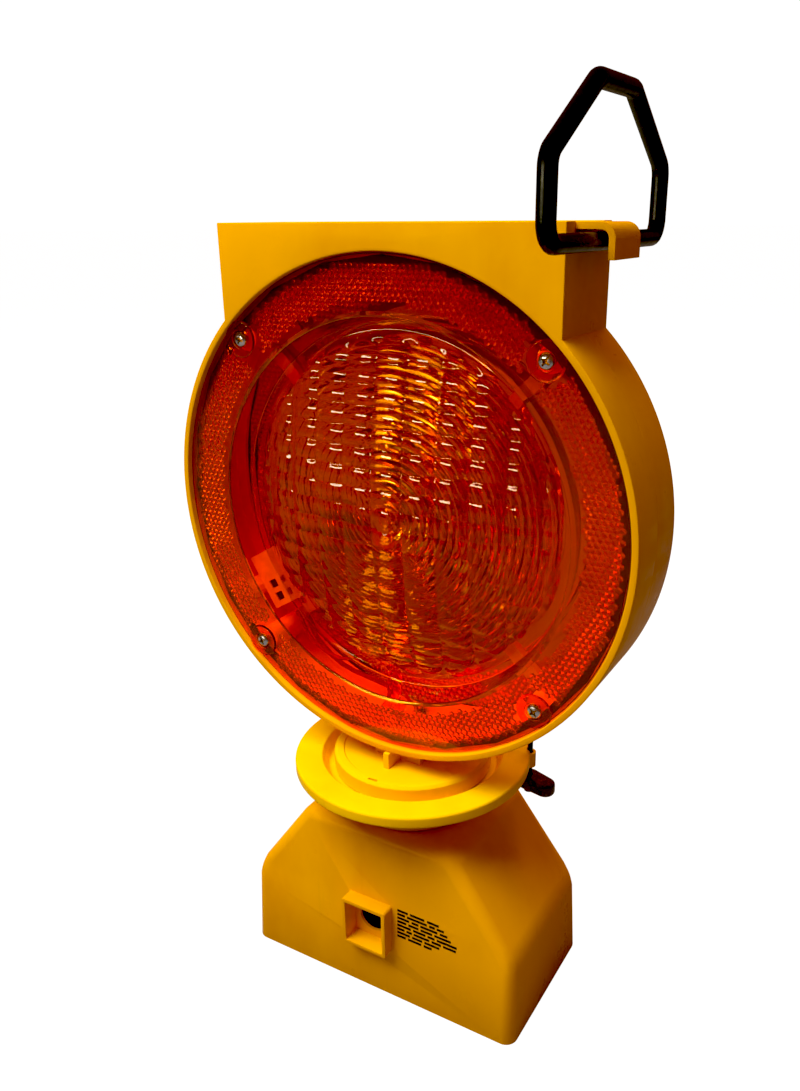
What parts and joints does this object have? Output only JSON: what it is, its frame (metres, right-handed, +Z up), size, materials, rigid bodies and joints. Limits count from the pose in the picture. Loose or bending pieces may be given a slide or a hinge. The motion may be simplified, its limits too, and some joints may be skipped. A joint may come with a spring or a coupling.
{
  "type": "barricade warning light",
  "caption": "Solar barricade warning light: round amber lens head that swivels on a drafted battery base, with a folding bail handle.",
  "frame": {"origin": "on the ground under the swivel axis, at the middle of the base's underside", "axes": "+Z up along the swivel axis, -Y out of the front lens and the base's front, +X towards the handle"},
  "size_m": [0.19, 0.1012, 0.3428],
  "materials": {
    "yellow_plastic": "satin moulded yellow plastic",
    "bright_yellow_plastic": "satin moulded bright yellow plastic",
    "amber_lens": "clear moulded amber plastic with prisms",
    "black_plastic": "glossy black",
    "dark_lever_plastic": "glossy, very dark brown",
    "black_rubber": "matte",
    "zinc_steel": "zinc plated",
    "orange_plastic": "matte",
    "green_board": "glass fibre board with solder mask",
    "solar_cell": "dark blue cells under resin",
    "clear_window": "clear",
    "led_lens": "clear, faint yellow",
    "battery_sleeve": "printed sleeve over a can",
    "white_plastic": "matte",
    "red_wire": "insulated wire",
    "dark_chip": "moulded"
  },
  "bodies": {
    "base": {"base_housing": "yellow_plastic", "base_cover": "black_plastic", "cover_seal": "black_rubber", "cover_screw_1": "zinc_steel", "cover_screw_2": "zinc_steel", "cover_screw_3": "zinc_steel", "cover_screw_4": "zinc_steel", "battery_carrier_left": "white_plastic", "battery_carrier_right": "white_plastic", "battery_cell_1": "battery_sleeve", "battery_cell_2": "battery_sleeve", "battery_cell_3": "battery_sleeve", "battery_cell_4": "battery_sleeve", "battery_contact_left_front": "zinc_steel", "battery_contact_left_rear": "zinc_steel", "battery_contact_right_front": "zinc_steel", "battery_contact_right_rear": "zinc_steel", "control_board": "green_board", "control_chip": "dark_chip", "storage_capacitor": "solar_cell", "collar_ring": "bright_yellow_plastic", "lock_pin": "black_plastic", "swivel_washer": "zinc_steel", "base_lead": "red_wire"},
    "head": {"head_neck": "yellow_plastic", "swivel_clip": "zinc_steel", "head_shell": "yellow_plastic", "top_cover": "yellow_plastic", "solar_panel": "solar_cell", "solar_window": "clear_window", "front_lens": "amber_lens", "rear_lens": "amber_lens", "front_gasket": "black_rubber", "rear_gasket": "black_rubber", "front_lens_screw_1": "zinc_steel", "front_lens_screw_2": "zinc_steel", "front_lens_screw_3": "zinc_steel", "front_lens_screw_4": "zinc_steel", "rear_lens_screw_1": "zinc_steel", "rear_lens_screw_2": "zinc_steel", "rear_lens_screw_3": "zinc_steel", "rear_lens_screw_4": "zinc_steel", "neck_screw_1": "zinc_steel", "neck_screw_2": "zinc_steel", "led_board": "green_board", "led_post": "orange_plastic", "front_led_1": "led_lens", "front_led_2": "led_lens", "rear_led_1": "led_lens", "rear_led_2": "led_lens", "photocell": "red_wire", "switch_box": "orange_plastic", "drum_lead": "red_wire", "lamp_lead": "red_wire", "panel_lead": "red_wire"},
    "handle": {"handle": "black_plastic"},
    "lever": {"lock_lever": "dark_lever_plastic"},
    "button": {"switch_button": "black_rubber"}
  },
  "joints": [
    {"name": "head_swivel", "type": "hinge", "parent": "base", "child": "head", "pos_m": [0, 0, 0.0977], "axis": [0, 0, 1], "range_deg": [-180, 180]},
    {"name": "handle_pivot", "type": "hinge", "parent": "head", "child": "handle", "pos_m": [0.0724, 0, 0.297], "axis": [0, 1, 0], "range_deg": [-75, 160]},
    {"name": "lock_lever_turn", "type": "hinge", "parent": "base", "child": "lever", "pos_m": [0.0425, 0.0234, 0.0824], "axis": [0, 0, 1], "range_deg": [0, 75]},
    {"name": "switch_press", "type": "slide", "parent": "head", "child": "button", "axis": [0.8572, 0, 0.515], "range_m": [0, 0.0015], "stiffness_N_per_m": 400}
  ]
}
